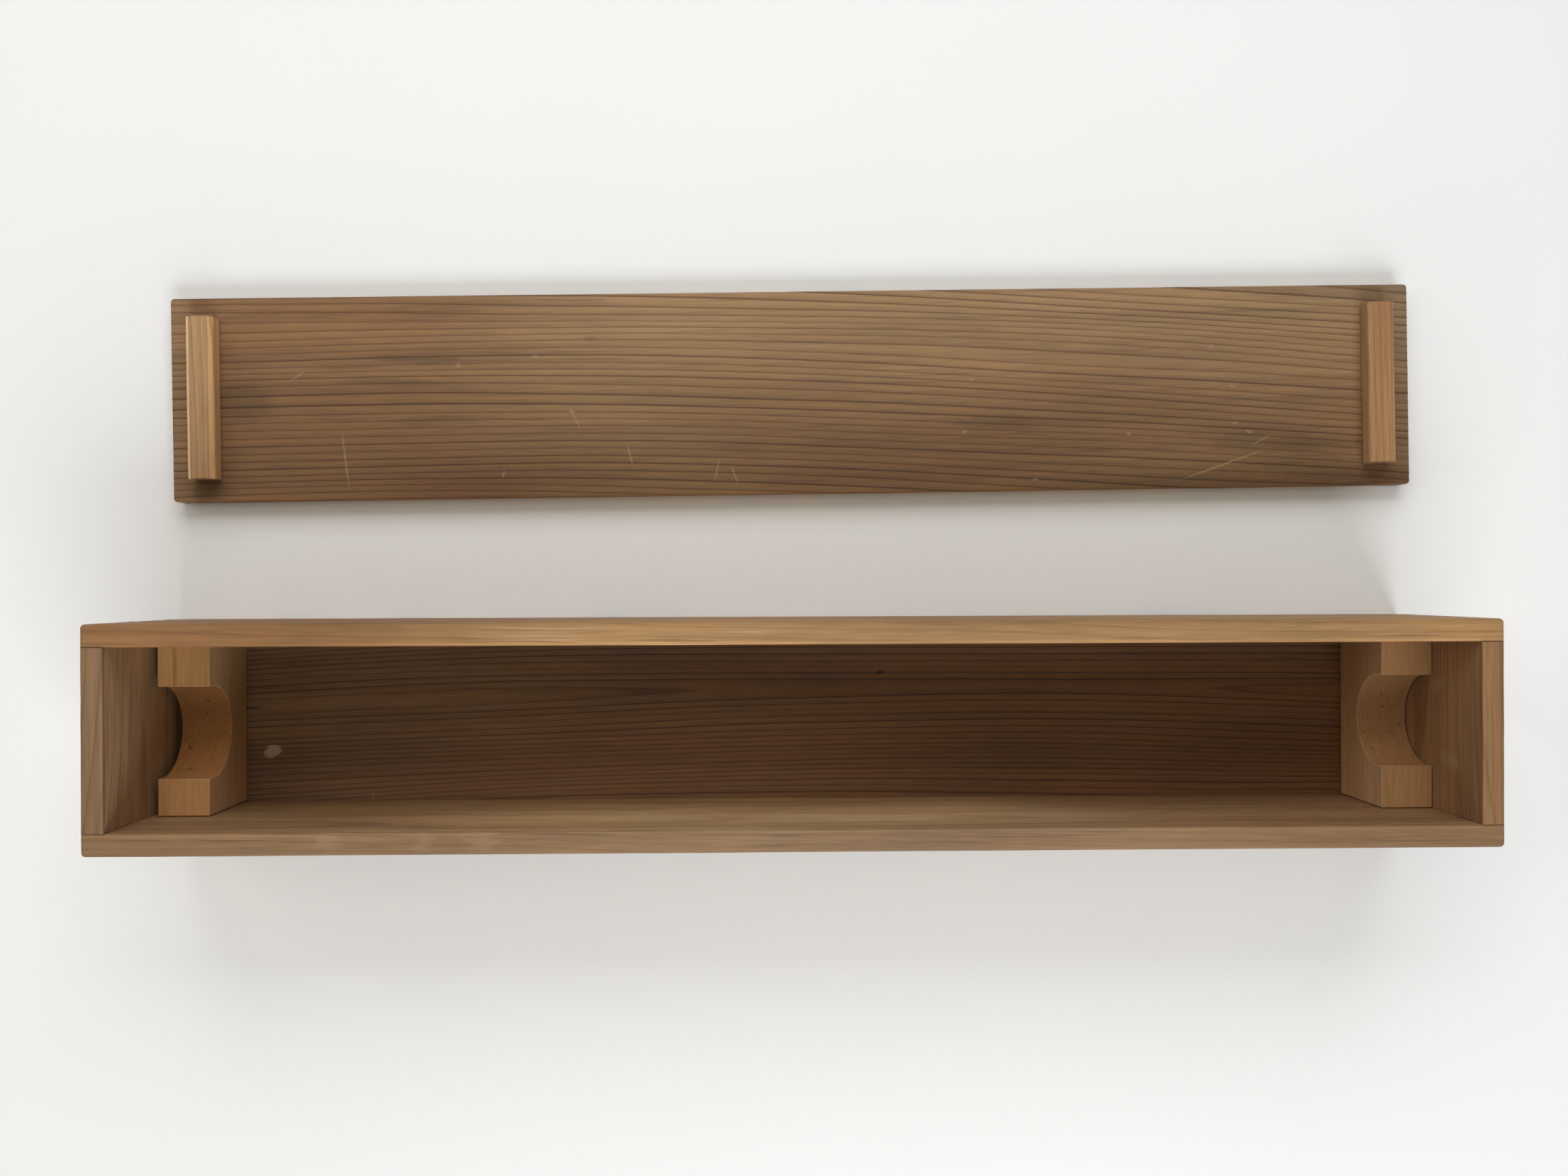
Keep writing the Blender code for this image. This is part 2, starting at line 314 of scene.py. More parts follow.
def cedar(name, centre, turn, size, log, look, marks=None):
    """Bare cedar: early and late wood from the same rings that raise the mesh, then streaks and fibres.

    marks(place, colour) may add the marks of use that only this piece has, and returns the new colour."""
    made, start = material(name)
    on_piece = start.make("ShaderNodeTexCoord", output="Object")
    move = {"Vector": on_piece, "Location": centre, "Rotation": turn}
    place = start.make("ShaderNodeMapping", {"vector_type": "TEXTURE"}, move)
    along = place.parts()[0]
    seed = log["seed"]
    dark = latewood(year_rings(place, log))
    fibre = place.noise((90.0, 3800.0, 3800.0), seed + 11, 2.0)
    streak = place.noise((9.0, 420.0, 420.0), seed + 23, 3.0)
    cloud = place.noise((11.0, 30.0, 30.0), seed + 37, 2.0)
    tone = place.noise((5.0, 16.0, 16.0), seed + 41, 1.0)
    band = place.noise((5.0, 150.0, 150.0), seed + 43, 2.0)
    grain = place.noise((60.0, 1100.0, 1100.0), seed + 53, 2.0)
    resin = place.noise((28.0, 1500.0, 1500.0), seed + 47, 1.0).rise(0.64, 0.74)
    early = start.make("ShaderNodeRGB")
    early.socket.default_value = (*look["early"], 1)
    colour = early.toward((*look["warm"], 1), tone.rise(0.35, 0.65))
    colour = colour.toward((*look["late"], 1), dark * look["contrast"])
    shade = 1 + (streak - 0.5) * look["streaks"] + (fibre - 0.5) * 0.36 + (cloud - 0.5) * look["clouds"]
    shade = shade + (band - 0.5) * look.get("bands", 0.5) + (grain - 0.5) * 0.4
    colour = colour.scaled(shade * (1 - resin * look.get("fibres", 0.25)))
    if marks is not None:
        colour = marks(place, colour)
    sawn_end = abs(along).rise(size.x / 2 - 0.0005, size.x / 2 - 0.0001)
    colour = colour.scaled(1 - sawn_end * 0.22)
    rough = 0.66 - dark * 0.10 + (streak - 0.5) * 0.22
    height = dark * 0.6 + fibre * 0.35 + streak * 0.25
    bump = start.make("ShaderNodeBump", None, {"Strength": 0.5, "Distance": 0.00012, "Height": height})
    inputs = {"Base Color": colour, "Roughness": rough, "Normal": bump, "Specular IOR Level": 0.32}
    shader = start.make("ShaderNodeBsdfPrincipled", None, inputs)
    start.make("ShaderNodeOutputMaterial", None, {"Surface": shader})
    return made


def peg_heads(word):
    """(head, inward direction, length) of each CAD peg whose name holds the word."""
    found = []
    for node in sorted(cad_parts):
        if "_peg" in node and word in node:
            low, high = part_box(node)
            size = high - low
            axis = max(range(3), key=lambda each: size[each])
            middle = (low + high) / 2
            inward = Vector((0, 0, 0))
            inward[axis] = 1 if axis == 2 else -math.copysign(1, middle[axis])
            found.append((middle - inward * size[axis] / 2, inward, size[axis]))
    return found


PEG_RADIUS = 0.00125


def peg_borer(name, heads):
    """Round cutters a hair wider than the pegs, which bore all their holes at once."""
    bm = bmesh.new()
    wide = PEG_RADIUS + 0.00006
    above, below = 0.002, 0.001
    for head, inward, length in heads:
        deep = above + length + below
        turn = Vector((0, 0, 1)).rotation_difference(inward).to_matrix().to_4x4()
        middle = Matrix.Translation(head + inward * (deep / 2 - above))
        bmesh.ops.create_cone(
            bm, cap_ends=True, segments=32, radius1=wide, radius2=wide, depth=deep, matrix=middle @ turn
        )
    mesh = bpy.data.meshes.new(name)
    bm.to_mesh(mesh)
    bm.free()
    borer = bpy.data.objects.new(name, mesh)
    bpy.context.scene.collection.objects.link(borer)
    borer.hide_render = True
    return borer


TIGHT = 0.00022  # the glue closes each joint by this much more than in the CAD solids

planks = plank_tree()
box_borer = peg_borer("box_borer", peg_heads("corner") + peg_heads("bottom"))


def add_plank(
    name, node, body, slot, turn, grain, look, eased_faces, cuts, grow=(0, 0, 0), marks=None, borer=box_borer,
    ease=0.0014, chamfer=0.0, relief=0.00005, rubbed=((0, 0, 0), (0, 0, 0)), rub=0.0, rub_stop=1.0,
):
    """Makes one board in place of a CAD node.

    eased_faces and rubbed name the sides that meet in rounded edges, as (low x, y, z) and (high x, y, z)."""
    centre, size = measured(node, turn)
    size = size + Vector(grow)
    wood = cedar(slot + "_" + name, centre, turn, size, grain, look, marks)
    values = {"Size": size, "Cuts": cuts, "Low faces": eased_faces[0], "High faces": eased_faces[1]}
    values.update({"Centre": centre, "Turn": turn, "Wood": wood, "Relief": relief, "Wear": 0.5, **grain})
    values.update({"Ease": ease, "Chamfer": chamfer, "Rub": rub, "Rub stop": rub_stop})
    values.update({"Rubbed low": rubbed[0], "Rubbed high": rubbed[1]})
    board = grown(name, planks, values, cutter=borer)
    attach(board, body)
    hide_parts(node)


bottom_grain = {"heart": 0.011, "deep": -0.0004, "lean": 0.011, "deep lean": 0.0, "bow": -0.10}
bottom_grain.update({"deep bow": 0.062, "ring": 0.0020, "wander": 0.0018, "seed": 4.0})
bottom_look = {"early": (0.205, 0.103, 0.046), "warm": (0.193, 0.090, 0.039), "late": (0.05, 0.022, 0.011)}
bottom_look.update({"contrast": 0.9, "streaks": 0.35, "clouds": 0.5})
bottom_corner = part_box("bottom_board")[1]


def bottom_marks(place, colour):
    """Greyer and lighter to the left, with a pale chip, a black fleck and a small tick on the inner face.

    The edges and the underside have the walls' paler tone."""
    along, across, depth = place.parts()
    inside = abs(across).rise(bottom_corner.y - 0.0003, bottom_corner.y - 0.0007)
    inside = inside * abs(along).rise(bottom_corner.x - 0.0003, bottom_corner.x - 0.0007)
    inside = inside * depth.rise(0.0, 0.003)
    shown = along.rise(-0.20, 0.20).between((1.14, 1.27, 1.38), (0.85, 0.79, 0.71))
    colour = colour.tinted(shown.toward((1.5, 1.7, 1.8, 1), 1 - inside))
    chip = place.patch((-0.1968, -0.0119), (0.0038, 0.0027), 20, 0.7, 1.4) * inside
    fleck = place.patch((0.0326, 0.0168), (0.0017, 0.0008), 12, 0.5, 0.4) * inside
    tick = place.patch((-0.1591, -0.0288), (0.0006, 0.0022), 8, 0.4) * inside
    colour = colour.toward((0.52, 0.40, 0.28, 1), chip * 0.75)
    colour = colour.toward((0.30, 0.19, 0.11, 1), tick * 0.7)
    return colour.toward((0.012, 0.009, 0.008, 1), fleck * 0.92)


add_plank(
    "bottom_plank", "bottom_board", "box", "bottom_wood", (0, 0, 0), bottom_grain, bottom_look,
    eased_faces=((1, 1, 1), (1, 1, 0)), cuts=(124, 214, 26), marks=bottom_marks,
)


# The long walls
#
# Two flat-sawn cedar boards on edge, the length of the box. They stand on the bottom board and cover the end
# boards' ends. Their tops are pale and worn, and the outer edges are sanded round.

wall_look = {"early": (0.40, 0.245, 0.115), "warm": (0.36, 0.21, 0.095), "late": (0.23, 0.12, 0.05)}
wall_look.update({"contrast": 0.48, "streaks": 0.45, "clouds": 0.5, "fibres": 0.3, "bands": 0.4})
back_grain = {"heart": -0.02, "deep": -0.05, "lean": 0.01, "deep lean": 0.012, "bow": 0.03, "deep bow": -0.02}
back_grain.update({"ring": 0.0021, "wander": 0.003, "seed": 11.0})
front_grain = {**back_grain, "heart": 0.012, "deep": 0.042, "lean": -0.02, "seed": 17.0}
front_look = {**wall_look, "early": (0.32, 0.19, 0.10), "warm": (0.29, 0.165, 0.08)}
front_look["late"] = (0.19, 0.10, 0.045)
outer_edges = ((1, 0, 0), (1, 1, 1))
inner_top_edge = ((0, 0, 1), (0, 1, 0))
end_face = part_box("right_end_board")[0].x  # both end boards' inner faces stand this far from the middle
wall_low, wall_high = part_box("back_wall")
half_height = (wall_high.z - wall_low.z) / 2
half_thickness = (wall_high.y - wall_low.y) / 2
pale_figures = ((-0.1236, 0.004), (-0.1038, 0.007), (-0.155, 0.005))


def inner_edge(along, across, depth):
    """1 on the rubbed edge between a board's top and its inner face, and only inside the box.

    It carries the edge's pale wear and a painted highlight.
    """
    inside = abs(along).rise(end_face + 0.0002, end_face - 0.0010)
    near_top = across.rise(half_height - 0.00105, half_height - 0.00055)
    near_face = depth.rise(0.0011 - half_thickness, 0.0006 - half_thickness)
    return near_top * near_face * inside


def back_wall_marks(place, colour):
    """Darker and redder at the left, which is the far end along this board, with pale fibres on the top.

    Its inner top edge is lighter, partly rubbed pale and partly a painted highlight.
    """
    along, across, depth = place.parts()
    colour = colour.tinted(along.rise(0.05, 0.19).between((0.95, 0.88, 0.78), (0.72, 0.60, 0.49)))
    threads = place.noise((16.0, 1.0, 1400.0), 5.0, 1.0).rise(0.58, 0.70)
    pale = threads * abs(along - 0.04).rise(0.075, 0.03) * across.rise(0.031, 0.033)
    colour = colour.toward((0.62, 0.47, 0.27, 1), pale * 0.45)
    # Wear and painted highlight: the inner top edge is lighter, partly rubbed pale and partly painted as a
    # highlight along its round.
    return colour.tinted((1.25, 1.24, 1.22), inner_edge(along, across, depth))


def front_wall_marks(place, colour):
    """Greyer at the ends of its top, with faint pale figures. Its inner face is paler: painted light over the
    whole face, and more in the middle, which is rubbed pale. Its inner top edge is lighter, partly rubbed
    and partly a painted highlight.
    """
    along, across, depth = place.parts()
    top = across.rise(0.0315, 0.0325)
    colour = colour.tinted(abs(along).rise(0.05, 0.20).between((0.90, 0.95, 0.96), (0.83, 0.83, 0.79)))
    # Painted light and wear: the whole inner face is made lighter, standing in for light that falls on it,
    # and more so in the middle, where it is rubbed pale.
    rubbed = abs(along + 0.03).rise(0.18, 0.02)
    smeared = place.noise((10.0, 60.0, 60.0), 71.0, 3.0).rise(0.35, 0.7)
    inner = (1 - depth.rise(-0.0034, -0.0026)) * (1 - top)
    pale = (rubbed * 0.55 + 0.18) * (smeared * 0.7 + 0.7)
    colour = colour.tinted((2.1, 2.4, 2.35), inner * pale)
    for middle, half in pale_figures:
        across_top = (along - middle) / half
        down_top = (depth + 0.001) / 0.0045
        far = (across_top * across_top + down_top * down_top) ** 0.5
        figure = (far + (place.noise((260.0, 260.0, 900.0), 19.0, 3.0) - 0.5) * 2.2).rise(1.1, 0.3)
        colour = colour.toward((0.44, 0.33, 0.21, 1), figure * top * 0.16)
    # Wear and painted highlight: the inner top edge is lighter, partly rubbed pale and partly painted as a
    # highlight along its round.
    return colour.tinted((1.14, 1.14, 1.14), inner_edge(along, across, depth))


walls = (
    ("back", math.pi, back_grain, wall_look, back_wall_marks),
    ("front", 0, front_grain, front_look, front_wall_marks),
)
for wall, facing, grain, look, marks in walls:
    add_plank(
        wall + "_wall_plank", wall + "_wall", "box", "wall_wood", (math.pi / 2, 0, facing), grain, look,
        outer_edges, cuts=(124, 150, 26), grow=(0, TIGHT, TIGHT), marks=marks,
        rubbed=inner_top_edge, rub=0.0008, rub_stop=end_face,
    )


# The end boards
#
# Two short cedar boards with their grain across the box. They are butted between the long walls, and three
# pegs at each corner run through the walls into their end grain.

end_look = {"early": (0.30, 0.175, 0.085), "warm": (0.27, 0.15, 0.07), "late": (0.17, 0.085, 0.035)}
end_look.update({"contrast": 0.55, "streaks": 0.4, "clouds": 0.5, "bands": 0.3})
left_end_grain = {"heart": 0.0, "deep": -0.035, "lean": 0.12, "deep lean": 0.01, "bow": 1.5, "deep bow": 0.0}
left_end_grain.update({"ring": 0.0034, "wander": 0.008, "seed": 23.0})
right_end_grain = {**left_end_grain, "lean": -0.06, "heart": -0.006, "seed": 29.0}
outer_top_edge = ((0, 0, 0), (0, 1, 1))


def end_marks(place, colour, top_tint, inner_face_painted_light, scuffs):
    """A tone of its own on the top, painted light that makes the inner face paler, and soft scuffs on that
    face. Its inner top edge is lighter, partly rubbed and partly a painted highlight.
    """
    along, across, depth = place.parts()
    top = across.rise(0.0310, 0.0325)
    inner = (1 - depth.rise(-0.0036, -0.0028)) * (1 - top)
    # Painted light: the second tint makes the inner face paler, standing in for light that falls on it.
    colour = colour.tinted(top_tint, top).tinted(inner_face_painted_light, inner)
    for middle, size, angle in scuffs:
        scuff = place.patch(middle, size, angle, 0.3, 1.2) * inner
        colour = colour.toward((0.50, 0.36, 0.22, 1), scuff * 0.3)
    # Wear and painted highlight: the inner top edge is lighter, partly rubbed pale and partly painted as a
    # highlight along its round.
    return colour.tinted((1.04, 1.04, 1.04), inner_edge(along, across, depth))


# In both end boards the tint for the inner face is painted light.
def left_end_marks(place, colour):
    return end_marks(place, colour, (0.83, 0.86, 0.89), (1.45, 1.60, 1.74), [])


def right_end_marks(place, colour):
    scuffs = (((-0.012, 0.012), (0.004, 0.010), 10), ((0.014, 0.004), (0.003, 0.008), -15))
    return end_marks(place, colour, (0.97, 0.93, 0.85), (1.13, 1.17, 1.21), scuffs)


ends = (("left", -1, left_end_grain, left_end_marks), ("right", 1, right_end_grain, right_end_marks))
for hand, side, grain, marks in ends:
    add_plank(
        hand + "_end_plank", hand + "_end_board", "box", "end_wood", (math.pi / 2, 0, side * math.pi / 2),
        grain, end_look, outer_top_edge, cuts=(40, 150, 26), grow=(2 * TIGHT, TIGHT, 0), marks=marks,
        rubbed=inner_top_edge, rub=0.0005,
    )


# The scroll rests
#
# Two blocks that stand across the box, one inside each end. Each is sawn from a thick offcut and glued in,
# and its U notch holds one end of the scroll's roller off the bottom.

rest_look = {"early": (0.40, 0.22, 0.095), "warm": (0.36, 0.19, 0.075), "late": (0.24, 0.12, 0.05)}
rest_look.update({"contrast": 0.12, "streaks": 0.25, "clouds": 0.4, "bands": 0.2, "fibres": 0.1})
rest_grain = {"heart": 0.03, "deep": -0.02, "lean": 0.1, "deep lean": 0.15, "bow": 0.4, "deep bow": 0.0}
rest_grain.update({"ring": 0.0026, "wander": 0.003, "seed": 31.0})
notch_width, notch_depth, notch_shift = 0.0323, 0.0194, 0.001


def notched(along, across, depth):
    """1 on the curved seat of the notch, between the block's two faces."""
    return abs(along).rise(0.0175, 0.0155) * depth.rise(0.0155, 0.0150) * abs(across).rise(0.0090, 0.0088)


def specks(place):
    """Tiny dark specks, a few in each square centimetre."""
    return place.noise((620.0, 620.0, 620.0), 83.0, 0.0).rise(0.76, 0.80)


def left_rest_marks(place, colour):
    """The front post is pinker and paler than the notch, and the face towards the scroll has painted light
    that makes it paler.
    """
    along, across, depth = place.parts()
    colour = colour.tinted(along.rise(0.010, -0.022).between((1.12, 1.10, 0.90), (1.30, 1.20, 1.08)))
    notch = notched(along, across, depth)
    colour = colour.tinted((0.95, 0.85, 0.75), notch)
    colour = colour.tinted((0.80, 0.76, 0.80), notch * along.rise(-0.004, 0.012))
    colour = colour.scaled(1 - specks(place) * notch * 0.5)
    face = across.rise(-0.00885, -0.0090)
    # Painted light: the face towards the scroll is made paler, standing in for light that falls on it.
    colour = colour.tinted((1.22, 1.50, 2.15), face)
    streak = place.patch((0.022, 0.003), (0.016, 0.0012), 0, 0.2, 0.5)
    return colour.toward((0.17, 0.085, 0.035, 1), streak * 0.5)


def right_rest_marks(place, colour):
    """More even than the left one, with painted light that makes the face towards the scroll paler still."""
    along, across, depth = place.parts()
    notch = notched(along, across, depth)
    colour = colour.tinted(notch.between((0.92, 0.90, 0.90), (1.05, 1.05, 1.10)))
    colour = colour.scaled(1 - specks(place) * notch * 0.6)
    face = across.rise(0.00885, 0.0090)
    # Painted light: the face towards the scroll is made paler, standing in for light that falls on it.
    return colour.tinted((1.60, 1.92, 2.4), face)


def add_rest(name, node, side, marks):
    """Makes one rest in place of a CAD node: its notched outline, pushed through to the block's thickness."""
    low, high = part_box(node)
    radius = notch_width / 2
    shift = side * notch_shift
    hollow = high.z - notch_depth + radius
    outline = [(shift - radius, high.z)]
    steps = 32
    for step in range(steps + 1):
        angle = math.pi * step / steps
        outline.append((shift - radius * math.cos(angle), hollow - radius * math.sin(angle)))
    outline += [(shift + radius, high.z), (high.y, high.z), (high.y, low.z), (low.y, low.z), (low.y, high.z)]
    bm = bmesh.new()
    face = bm.faces.new([bm.verts.new((low.x, y, z)) for y, z in outline])
    pushed = bmesh.ops.extrude_face_region(bm, geom=[face])["geom"]
    moved = [item for item in pushed if isinstance(item, bmesh.types.BMVert)]
    bmesh.ops.translate(bm, verts=moved, vec=(high.x - low.x, 0, 0))
    bmesh.ops.recalc_face_normals(bm, faces=bm.faces)
    mesh = bpy.data.meshes.new(name)
    bm.to_mesh(mesh)
    bm.free()
    mesh.shade_smooth()
    mesh.set_sharp_from_angle(angle=math.radians(30))
    turn = (0, 0, math.pi / 2)
    centre, size = measured(node, turn)
    mesh.materials.append(cedar("rest_wood_" + name, centre, turn, size, rest_grain, rest_look, marks))
    block = bpy.data.objects.new(name, mesh)
    bpy.context.scene.collection.objects.link(block)
    eased = block.modifiers.new("eased_edges", "BEVEL")
    eased.width = 0.0003
    eased.segments = 2
    eased.limit_method = "ANGLE"
    eased.angle_limit = math.radians(40)
    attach(block, "box")
    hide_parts(node)


add_rest("left_rest_block", "left_scroll_rest", -1, left_rest_marks)
add_rest("right_rest_block", "right_scroll_rest", 1, right_rest_marks)


# The box's pegs
#
# Small tapered pegs of pale hard wood, driven in with glue and pared flush: three at each corner, and ten up
# through the bottom board.

HEAD_RECESS = 0.00015  # the CAD pegs' heads lie this far below the surface


def peg_tree():
    """A peg on every point, along the direction stored there: tapered, with a pared head and a soft tip."""
    tree = bpy.data.node_groups.new("pegs", "GeometryNodeTree")
    tree.interface.new_socket("Geometry", in_out="OUTPUT", socket_type="NodeSocketGeometry")
    tree.interface.new_socket("Geometry", in_out="INPUT", socket_type="NodeSocketGeometry")
    for name, kind in (("Length", "Float"), ("Radius", "Float"), ("Taper", "Float"), ("Wood", "Material")):
        tree.interface.new_socket(name, in_out="INPUT", socket_type="NodeSocket" + kind)
    start = Wire(tree)

    def given(name):
        return start.make("NodeGroupInput", output=name)

    length = given("Length")
    sizes = {"Vertices": 16, "Side Segments": 10, "Fill Segments": 3, "Radius": given("Radius")}
    sizes["Depth"] = length
    stick = start.make("GeometryNodeMeshCylinder", None, sizes)
    x, y, z = start.make("GeometryNodeInputPosition").parts()
    share = z / length + 0.5
    narrow = 1 - share * given("Taper")
    tip = 1 - share.rise(0.97, 1.0) * 0.25
    shape = {0: x * narrow * tip, 1: y * narrow * tip, 2: share * length}
    where = start.make("ShaderNodeCombineXYZ", None, shape)
    stick = start.make("GeometryNodeSetPosition", None, {"Geometry": stick, "Position": where})
    inward = start.make("GeometryNodeInputNamedAttribute", {"data_type": "FLOAT_VECTOR"}, {"Name": "inward"})
    aim = start.make("FunctionNodeAlignRotationToVector", {"axis": "Z"}, {"Vector": inward})
    spin = start.make("FunctionNodeRandomValue", {"data_type": "FLOAT"}, {2: 0.0, 3: math.tau, "Seed": 5}, 1)
    roll = start.make("FunctionNodeAxisAngleToRotation", None, {"Axis": (0, 0, 1), "Angle": spin})
    settings = {"rotation_space": "LOCAL"}
    aim = start.make("FunctionNodeRotateRotation", settings, {"Rotation": aim, "Rotate By": roll})
    points = {"Points": given("Geometry"), "Instance": stick, "Rotation": aim}
    row = start.make("GeometryNodeInstanceOnPoints", None, points)
    row = start.make("GeometryNodeRealizeInstances", None, {"Geometry": row})
    row = start.make("GeometryNodeSetMaterial", None, {"Geometry": row, "Material": given("Wood")})
    output = tree.nodes.new("NodeGroupOutput")
    tree.links.new(row.socket, output.inputs["Geometry"])
    return tree


def peg_wood():
    """Pale, close-grained wood that shows end grain on the heads."""
    made, start = material("peg_wood_pegs")
    place = start.make("ShaderNodeTexCoord", output="Object")
    pores = place.noise((2600.0, 2600.0, 2600.0), 3.0, 3.0)
    tone = place.noise((70.0, 70.0, 70.0), 9.0)
    pale = start.make("ShaderNodeRGB")
    pale.socket.default_value = (0.36, 0.23, 0.11, 1)
    colour = pale.toward((0.22, 0.12, 0.05, 1), tone.rise(0.35, 0.65)).scaled(1 + (pores - 0.5) * 0.7)
    bump = start.make("ShaderNodeBump", None, {"Strength": 0.4, "Distance": 0.0001, "Height": pores})
    inputs = {"Base Color": colour, "Roughness": 0.5 + pores * 0.2, "Normal": bump}
    shader = start.make("ShaderNodeBsdfPrincipled", None, inputs)
    start.make("ShaderNodeOutputMaterial", None, {"Surface": shader})
    return made


peg_maker = peg_tree()
peg_finish = peg_wood()


def add_pegs(name, body, heads):
    """All the pegs of one body as one mesh, lifted so that their heads are flush."""
    mesh = bpy.data.meshes.new(name)
    mesh.from_pydata([tuple(head - inward * HEAD_RECESS) for head, inward, length in heads], [], [])
    stored = mesh.attributes.new("inward", "FLOAT_VECTOR", "POINT")
    for slot, (head, inward, length) in zip(stored.data, heads):
        slot.vector = inward
    values = {"Length": heads[0][2], "Radius": PEG_RADIUS, "Taper": 0.28, "Wood": peg_finish}
    pegs = grown(name, peg_maker, values, mesh)
    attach(pegs, body)
    return pegs


box_pegs = add_pegs("box_pegs", "box", peg_heads("corner") + peg_heads("bottom"))
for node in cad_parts:
    if "_corner_peg" in node or node.startswith("bottom_") and "_peg" in node:
        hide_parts(node)


# The lid board
#
# A quarter-sawn cedar board that lies loose and upside down, so its inner face shows: about thirty dark ring
# lines, level at the left and falling to the right, with the scratches and grey rubs of use.

lid_turn = math.radians(0.7)
lid_borer = peg_borer("lid_borer", peg_heads("batten"))
lid_grain = {"heart": 0.30, "deep": 0.06, "lean": -0.037, "deep lean": 0.0, "bow": -0.12, "deep bow": 0.0}
lid_grain.update({"ring": 0.00285, "wander": 0.0018, "seed": 53.0})
lid_look = {"early": (0.287, 0.179, 0.092), "warm": (0.262, 0.153, 0.077), "late": (0.088, 0.045, 0.021)}
lid_look.update({"contrast": 0.92, "streaks": 0.35, "clouds": 0.45})
bruised = (0.46, 0.34, 0.21, 1)
lid_smears = (
    ((0.184, -0.0205), (0.042, 0.0085), -4.8),
    ((0.076, -0.0125), (0.026, 0.0042), -2.0),
    ((0.207, -0.0330), (0.045, 0.0065), -6.0),
    ((0.205, 0.0375), (0.060, 0.0085), -2.0),
    ((0.150, -0.0390), (0.090, 0.0110), 0.0),
    ((-0.142, 0.0142), (0.026, 0.0026), -2.7),
    ((-0.149, 0.0055), (0.034, 0.0024), -3.1),
    ((-0.134, -0.0086), (0.030, 0.0028), 1.7),
    ((-0.207, 0.0001), (0.016, 0.0140), 0.0),
    ((-0.221, -0.0341), (0.012, 0.0050), 0.0),
    ((-0.0773, 0.0214), (0.0040, 0.0012), 0.0),
)
lid_scratches = (
    ((0.1625, -0.0300), (0.0215, 0.00042), 19.0),
    ((-0.0631, -0.0226), (0.0048, 0.00040), 103.0),
    ((-0.1703, -0.0237), (0.0132, 0.00036), 96.6),
    ((-0.1109, -0.0294), (0.0018, 0.00045), 80.0),
    ((-0.1880, 0.0085), (0.0040, 0.00035), 30.0),
    ((-0.0835, -0.0090), (0.0060, 0.00030), 115.0),
    ((-0.0300, -0.0285), (0.0060, 0.00030), 75.0),
    ((-0.0235, -0.0310), (0.0050, 0.00030), 110.0),
    ((0.1780, -0.0205), (0.0060, 0.00028), 28.0),
)
lid_dents = (
    ((-0.1274, 0.0119), (0.0013, 0.0010), 0.0),
    ((0.0643, -0.0158), (0.0016, 0.0009), 20.0),
    ((0.1271, -0.0174), (0.0014, 0.0010), 0.0),
    ((0.1670, 0.0002), (0.0016, 0.0008), 0.0),
    ((0.1592, 0.0153), (0.0014, 0.0008), 30.0),
    ((0.0911, -0.0345), (0.0020, 0.0008), 10.0),
    ((0.0671, 0.0040), (0.0015, 0.0007), 0.0),
    ((-0.0981, 0.0148), (0.0020, 0.0007), -10.0),
    ((-0.0847, -0.0061), (0.0016, 0.0007), 0.0),
    ((0.1735, -0.0175), (0.0022, 0.0009), -15.0),
    ((0.1680, -0.0140), (0.0016, 0.0006), 20.0),
)


def lid_marks(place, colour):
    """Redder at the front and the left, yellower at the back, with grey smears, scratches and dents.

    The front-to-back change is partly the wood's tone and partly painted shade, darker towards the box,
    which shades the lid's front half. The front side face is painted lighter, standing in for light on it.
    """
    along, across, depth = place.parts()
    # Painted shade, partly the wood's tone: darker and redder towards the front, which the box shades,
    # lighter at the back.
    golden_and_unshaded = across.rise(-0.044, 0.044).at_least(along.rise(-0.10, -0.20) * 0.45)
    colour = colour.tinted(golden_and_unshaded.between((0.80, 0.71, 0.60), (1.14, 1.12, 1.08)))
    colour = colour.tinted(along.rise(-0.16, -0.06).between((0.86, 0.79, 0.72), (1.02, 1.03, 1.02)))
    colour = colour.tinted((1.14, 1.28, 1.40), along.rise(-0.2260, -0.2285))
    colour = colour.tinted((0.87, 0.93, 1.01), along.rise(0.2250, 0.2285))
    colour = colour.tinted((0.86, 0.81, 0.76), along.rise(0.04, 0.15) * across.rise(-0.027, -0.037))
    # Painted light: the front side face is made lighter, standing in for light that falls on it.
    colour = colour.tinted((1.7, 1.65, 1.5), across.rise(-0.0377, -0.0382))
    inside = depth > 0
    for middle, size, angle in lid_smears:
        smear = place.patch(middle, size, angle, 0.2, 0.7) * inside
        colour = colour.tinted((0.70, 0.72, 0.76), smear * 0.8)
    for middle, size, angle in lid_scratches:
        scratch = place.patch(middle, size, angle, 0.5, 0.9) * inside
        colour = colour.toward(bruised, scratch * 0.4)
    for middle, size, angle in lid_dents:
        dent = place.patch(middle, size, angle, 0.2, 1.0) * inside
        colour = colour.toward(bruised, dent * 0.35)
    return colour


add_plank(
    "lid_plank", "lid_board", "lid", "lid_wood", (0, 0, lid_turn), lid_grain, lid_look,
    eased_faces=((1, 1, 1), (1, 1, 1)), cuts=(124, 220, 26), marks=lid_marks, borer=lid_borer,
    ease=0.0005, relief=0.00006, rubbed=((1, 1, 0), (1, 1, 0)), rub=0.0017,
)


# The lid's battens
#
# Two strips of paler cedar, glued and pegged across the lid's inner face, with their long edges chamfered.
# They keep the lid flat, and drop in just inside the end boards when it is closed.

